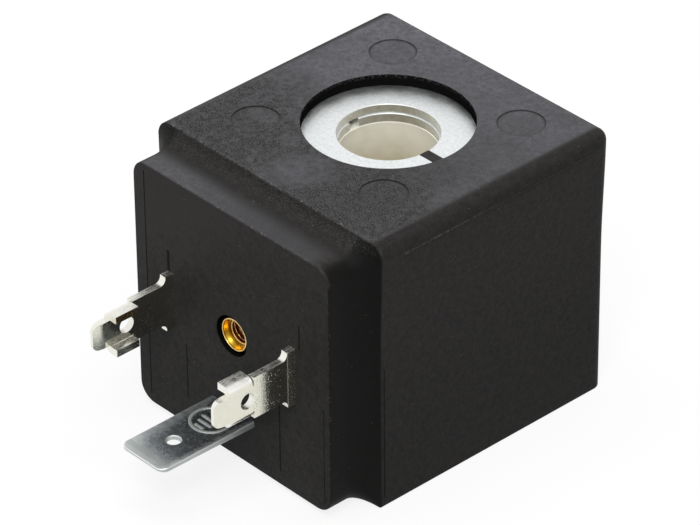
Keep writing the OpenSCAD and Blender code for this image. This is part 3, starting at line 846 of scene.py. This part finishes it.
def moulded_skin():
    """Outside of the moulding: a loft from the contact face to the back, with both ends' recesses."""
    face_steps, back_steps = [0, 0.3, 0.55, 0.75, 0.88, 0.96, 1], [0, 0.4, 0.8, 1]
    mouth_ring, heart_r = 1.0, 1.0
    y, grown, insets, flat_front, flat_back = skin_rows()
    skin = skin_sections(y, grown, insets)
    first = int(np.argmin(abs(y - flat_front)))
    last = int(np.argmin(abs(y - flat_back)))
    around = skin.shape[1]
    top = np.arange(across_n + 1)
    bottom = across_n + 2 * corner_n + upright_n + across_n - top
    keep = np.ones((len(y) - 1, around), bool)
    keep[first:last, :across_n] = False
    keep[first:last, bottom[-1]:bottom[0]] = False
    blocks = [(skin, grid_faces(len(y), around, wrap=True)[keep.ravel()])]
    screw = np.array([0, face_y, screw_z])
    front = drawn_in(skin[0], screw, mouth_r + mouth_lip, face_steps)
    mouth = sunk_rows(skin[0], screw, (0, -1, 0), mouth_r, mouth_lip, [
        (mouth_r, mouth_ring), (mouth_r, mouth_depth), (0.0, mouth_depth),
    ])
    front = np.concatenate([front, mouth])
    blocks.append((front, grid_faces(*front.shape[:2], wrap=True)))
    heart = np.array([0, back_y, body_h / 2])
    back = drawn_in(skin[-1], heart, heart_r, back_steps)
    back = np.concatenate([back, np.broadcast_to(heart, (1, around, 3))])
    blocks.append((back, grid_faces(*back.shape[:2], wrap=True)))
    blocks += end_face(skin, first, last, top, z=body_h, up=1, marked=True)
    blocks += end_face(skin, first, last, bottom, z=0.0, up=-1, marked=False)
    blocks.append(slit_fill())
    mesh = welded("moulded_skin", blocks)
    place("moulded_skin", mesh, black, ["encapsulation"], crease=28)
    shade_hollows(mesh)


def shade_hollows(mesh):
    """Gives the recess walls and the insert's mouth, by distance from their axes, a finish of painted shade.
    """
    wall_near, mouth_near, past_end = 0.03, 0.01, 1.0
    centres = np.empty(len(mesh.polygons) * 3)
    mesh.polygons.foreach_get("center", centres)
    x, y, z = centres.reshape(-1, 3).T / MM
    wall = abs(np.hypot(x, y) - recess_r) < wall_near
    mouth = np.hypot(x, z - screw_z) < mouth_r + mouth_near
    mouth = mouth & (y > face_y + mouth_lip) & (y < face_y + mouth_depth + past_end)
    mesh.materials.append(hollow_shade)
    mesh.polygons.foreach_set("material_index", (wall | mouth).astype(np.int32))


def bead(path, across, up, width, height, size):
    """Low bead along a path: a flat-sided ring across the path, scaled by a size at each of its points."""
    flat = squared_ring(16, 1.2)
    rows = path[:, None] + size[:, None, None] * (
        across[:, None] * (width / 2 * flat[0])[:, None] + np.asarray(up) * (height * flat[1])[:, None])
    return rows, grid_faces(*rows.shape[:2], wrap=True)


def straight_bead(start, end, up, width, height, blunt=False):
    """Bead along a straight line: points gather at its ends for round tips, or blunt ends are cut square."""
    part_n = 24
    start, end = np.asarray(start, float), np.asarray(end, float)
    length = np.linalg.norm(end - start)
    part = (1 - np.cos(arc(part_n, 0, TAU / 2))) / 2
    short = np.clip(1 - 2 * length * np.minimum(part, 1 - part) / width, 0, 1)
    size = np.sqrt(1 - short ** 2)
    if blunt:
        part = np.concatenate([[0, 0, 0.03], np.linspace(0.1, 0.9, 9), [0.97, 1, 1]])
        size = np.concatenate([[0, 0.85], np.ones(11), [0.85, 0]])
    path = start + part[:, None] * (end - start)
    across = np.cross(up, end - start) / length
    return bead(path, np.broadcast_to(across, path.shape), up, width, height, size)


def parting_lines():
    """Witness lines of the mould's inserts, as dark beads a hair proud.

    Those on the contact face have a place across, a lower and an upper end, and a width. One more stands on
    the right flank, behind the shoulder.
    """
    forward, outward, proud = np.array([0, -1, 0]), np.array([1, 0, 0]), 0.02
    upright = [
        (-6.9, 4.0, 10.6, 0.15), (6.9, 2.2, 10.4, 0.18), (-9.3, 18.0, 20.7, 0.42), (10.0, 18.4, 21.3, 0.18),
        (strip_x, 1.6, 28.6, 0.12), (13.4, 1.6, 13.0, 0.1),
    ]
    blocks = [
        straight_bead((x, face_y, low), (x, face_y, high), forward, width, proud)
        for x, low, high, width in upright
    ]
    flank_y, flank_low, flank_high, flank_w = shoulder_y + 0.45, 1.0, 16.5, 0.14
    start, end = (body_half_w, flank_y, flank_low), (body_half_w, flank_y, flank_high)
    blocks.append(straight_bead(start, end, outward, flank_w, proud))
    place("parting_lines", welded("parting_lines", blocks), seam)


def flash_line():
    """Thin ridge of flash along the right flank, a little below the top and rising towards the back."""
    width, height, flared = 0.24, 0.09, 0.95
    out = body_half_w + flare * flared
    start, end = (out, -13.2, 28.9), (out, 12.2, 29.1)
    ridge = straight_bead(start, end, np.array([1, 0, 0]), width, height)
    place("flash_line", welded("flash_line", [ridge]), flash)


# Metal pieces

def earth_sign():
    """Earth sign struck into the tab: a ring, a stem and three bars that shorten towards the tip.

    The ring's middle, the stem's ends and the bars are placed by their distance from the contact face.
    """
    top = tab_high[2]
    up = (0, 0, 1)
    width, height = 0.34, 0.08
    ring_r, ring_at = 2.1, 2.95
    stem_from, stem_to = 1.1, 3.0
    bars = ((3.0, 2.5), (3.76, 1.9), (4.52, 1.25))
    turn_n = 72
    turn = arc(turn_n, 0, TAU)
    out = np.stack([np.cos(turn), np.sin(turn), 0 * turn], -1)
    centre = np.array([0, face_y - ring_at, top])
    blocks = [bead(centre + ring_r * out, out, up, width, height, np.ones(len(turn)))]
    for at, length in bars:
        left, right = (-length / 2, face_y - at, top), (length / 2, face_y - at, top)
        blocks.append(straight_bead(left, right, up, width, height, blunt=True))
    blocks.append(straight_bead((0, face_y - stem_from, top), (0, face_y - stem_to, top), up, width, height))
    place("earth_sign", welded("earth_sign", blocks), struck)


def flush_collar(points):
    """Points of a blade with the steps of its collar pressed flat onto both faces."""
    y_margin, z_margin = 0.05, 0.01
    x, y, z = points.T
    at_face = (y > face_y - blade_base - y_margin) & (abs(z - blade_z) < collar_h / 2 + z_margin)
    pressed = np.sign(x) * np.clip(abs(x), blade_in, blade_out)
    return np.stack([np.where(at_face, pressed, x), y, z], -1)


def blade_collars():
    """Low collars on the blades' outer faces at the contact face: flat-crowned beads that stand upright."""
    end_inset, into_face = 0.08, 0.05
    low, high = blade_z - collar_h / 2 + end_inset, blade_z + collar_h / 2 - end_inset
    y = face_y - blade_base / 2 + into_face
    blocks = [
        straight_bead((x, y, low), (x, y, high), (side, 0, 0), blade_base, collar_proud, blunt=True)
        for side, x in ((-1, -blade_out), (1, blade_out))
    ]
    place("blade_collars", welded("blade_collars", blocks), tin)


def thinned_tab(points):
    """Points of the tab with its underside rising evenly to the tip, and the tip drawn out a little."""
    tip_part = 1.1
    x, y, z = points.T
    tip_y = tab_low[1]
    along = np.clip((thin_from - y) / (thin_from - tip_y), 0, 1)
    z = np.where(y < thin_from, tab_high[2] - (tab_high[2] - z) * (1 - thin_part * along), z)
    return np.stack([x, y - tip_more * (y < tip_y + tip_part), z], -1)


def threaded_bush():
    """Insert turned about the screw's axis: a profile of radius and depth, with a helix in its bore.

    The bore's radius is the tapping radius plus the thread's depth times a flat-topped triangle wave of the
    depth in pitches less the bearing in turns. The wave fades in behind the countersink.
    """
    pitch, drill_r, thread, crest_cut, run_in = 0.5, 1.25, 0.24, 1.3, 0.3
    neck_r, body_r, groove_r, edge = 1.825, 2.4, 2.05, 0.1
    neck_len, rings_per_pitch, turn_n = 0.8, 12, 96
    third = (insert_len - neck_len) / 3
    groove_back, groove_front = insert_len - third, neck_len + third
    outer = np.array([
        (1.0, insert_len), (body_r - edge, insert_len), (body_r, insert_len - edge), (body_r, groove_back),
        (groove_r, groove_back), (groove_r, groove_front), (body_r, groove_front), (body_r, neck_len),
        (neck_r, neck_len), (neck_r, 0.06), (neck_r - 0.02, 0.02), (neck_r - 0.05, 0.0),
        (sink_r + 0.02, 0.0), (sink_r, 0.02), (sink_r - 0.02, 0.12), (sink_r - 0.07, 0.27),
        (sink_r - 0.15, 0.45), (sink_r - 0.2, 0.62), (sink_r - 0.23, 0.76), (sink_r - 0.24, 0.9),
        (shelf_r + 0.01, 0.9), (shelf_r, sink_depth - 0.02), (drill_r + 0.02, sink_depth - 0.02),
        (drill_r, sink_depth),
    ])
    bore_len = insert_len - sink_depth
    bore_depth = np.linspace(sink_depth, insert_len, int(bore_len / pitch * rings_per_pitch))
    radius = np.concatenate([outer[:, 0], np.full(len(bore_depth), drill_r)])
    depth = np.concatenate([outer[:, 1], bore_depth])
    turn = ring(turn_n)
    phase = (depth[:, None] / pitch - turn / TAU) % 1
    wave = np.clip(crest_cut * (1 - abs(2 * phase - 1)), 0, 1)
    in_bore = np.arange(len(depth)) >= len(outer)
    fade = np.where(in_bore, np.clip((depth - sink_depth) / run_in, 0, 1), 0)
    r = radius[:, None] + thread * wave * fade[:, None]
    y = np.broadcast_to(depth[:, None] + insert_y, r.shape)
    rows = np.stack([r * np.cos(turn), y, screw_z + r * np.sin(turn)], -1)
    rows = np.concatenate([rows, rows[:1]])
    mesh = welded("threaded_bush", [(rows, grid_faces(*rows.shape[:2], wrap=True))])
    place("threaded_bush", mesh, brass, ["threaded_insert"], crease=40)


moulded_skin()
parting_lines()
flash_line()
earth_sign()
blade_collars()
threaded_bush()
steel_edge, blade_edge, former_edge = 0.1, 0.08, 0.04
softened("outer_yoke", "outer_yoke_bracket", zinc, steel_edge, Z, zinc_edge)
softened("inner_yoke", "inner_yoke_bracket", zinc, steel_edge, Z, zinc_edge)
softened("bobbin", "coil_former", cream, former_edge)
softened("left_terminal", "left_blade", tin, blade_edge, X, tin_edge, flush_collar)
softened("right_terminal", "right_blade", tin, blade_edge, X, tin_edge, flush_collar)
softened("earth_terminal", "earth_tab", tab_zinc, steel_edge, Z, zinc_edge, thinned_tab)

hidden_finishes = {
    "winding": copper, "winding_tape": tape, "start_lead": copper, "finish_lead": copper,
    "start_lead_sleeve": sleeve, "left_solder_joint": joint_metal, "right_solder_joint": joint_metal,
}
for name, material in hidden_finishes.items():
    nodes[name].data.materials.clear()
    nodes[name].data.materials.append(material)


# Floor, light and camera

def seen_directly(start):
    """1 for rays that show a surface: from the camera, or by reflection or refraction."""
    kinds = ("Is Camera Ray", "Is Glossy Ray", "Is Transmission Ray")
    first, *others = (start.node("ShaderNodeLightPath", out=kind) for kind in kinds)
    return sum(others, first).clamped()


def white_floor(glow, tone):
    """Level floor, a hair below the coil: dim and diffuse for its shadow, the rest of its white a glow."""
    half, level = 3.0, -0.02 * MM
    mesh = bpy.data.meshes.new("floor")
    corners = [(-half, -half, level), (half, -half, level), (half, half, level), (-half, half, level)]
    mesh.from_pydata(corners, [], [(0, 1, 2, 3)])
    floor = bpy.data.objects.new("floor", mesh)
    bpy.context.scene.collection.objects.link(floor)
    material = bpy.data.materials.new("floor_white")
    material.use_nodes = True
    tree = material.node_tree
    tree.nodes.clear()
    start = Socket(tree)
    white = mixed(seen_directly(start), (0, 0, 0), (glow, glow, glow))
    sockets = {
        "Base Color": (tone, tone, tone, 1), "Roughness": 0.9, "Specular IOR Level": 0.0,
        "Emission Color": white, "Emission Strength": 1.0,
    }
    shader = start.node("ShaderNodeBsdfPrincipled", sockets=sockets, out="BSDF")
    start.node("ShaderNodeOutputMaterial", sockets={"Surface": shader})
    mesh.materials.append(material)


def white_room(fill):
    """White surroundings for the camera and for reflections, dimmer as plain light."""
    world = bpy.data.worlds.new("white_room")
    bpy.context.scene.world = world
    world.use_nodes = True
    tree = world.node_tree
    tree.nodes.clear()
    start = Socket(tree)
    strength = fill + (1 - fill) * seen_directly(start)
    light = start.node("ShaderNodeBackground", sockets={"Color": (1, 1, 1, 1), "Strength": strength})
    start.node("ShaderNodeOutputWorld", sockets={"Surface": light})


def panel(name, at, aim, width, depth, power, mirrored):
    """Oblong soft light at a place, turned to a point with its width level, in metres and watts.

    Glossy surfaces show it only if mirrored is set.
    """
    light = bpy.data.lights.new(name, "AREA")
    light.shape = "RECTANGLE"
    light.size, light.size_y = width, depth
    light.energy = power
    lamp = bpy.data.objects.new(name, light)
    lamp.location = at
    toward = np.array(aim) - np.array(at)
    level = math.hypot(toward[0], toward[1])
    lamp.rotation_euler = (math.atan2(level, -toward[2]), 0, math.atan2(toward[1], toward[0]) - TAU / 4)
    lamp.visible_glossy = mirrored
    bpy.context.scene.collection.objects.link(lamp)


def photo_camera():
    """Camera at the photograph's place and turn, with its long lens."""
    lens_mm, sensor_mm = 254.2, 36.0
    place_mm, turn_deg = (303.886, -282.021, 291.343), (56.2213, 0.4633, 47.3715)
    data = bpy.data.cameras.new("photo_camera")
    data.sensor_width = sensor_mm
    data.lens = lens_mm
    camera = bpy.data.objects.new("photo_camera", data)
    camera.location = np.array(place_mm) * MM
    camera.rotation_euler = [math.radians(angle) for angle in turn_deg]
    bpy.context.scene.collection.objects.link(camera)
    bpy.context.scene.camera = camera


white_floor(glow=0.85, tone=0.15)
white_room(fill=0.12)
middle = (0, 0, 0.015)
panel("overhead_panel", (-0.05, 0.06, 0.8), middle, width=1.1, depth=0.35, power=4.7, mirrored=False)
panel("camera_side_panel", (0.33, -0.36, 0.64), middle, width=0.35, depth=0.35, power=3.4, mirrored=True)
photo_camera()
bpy.context.scene.view_settings.view_transform = "Standard"
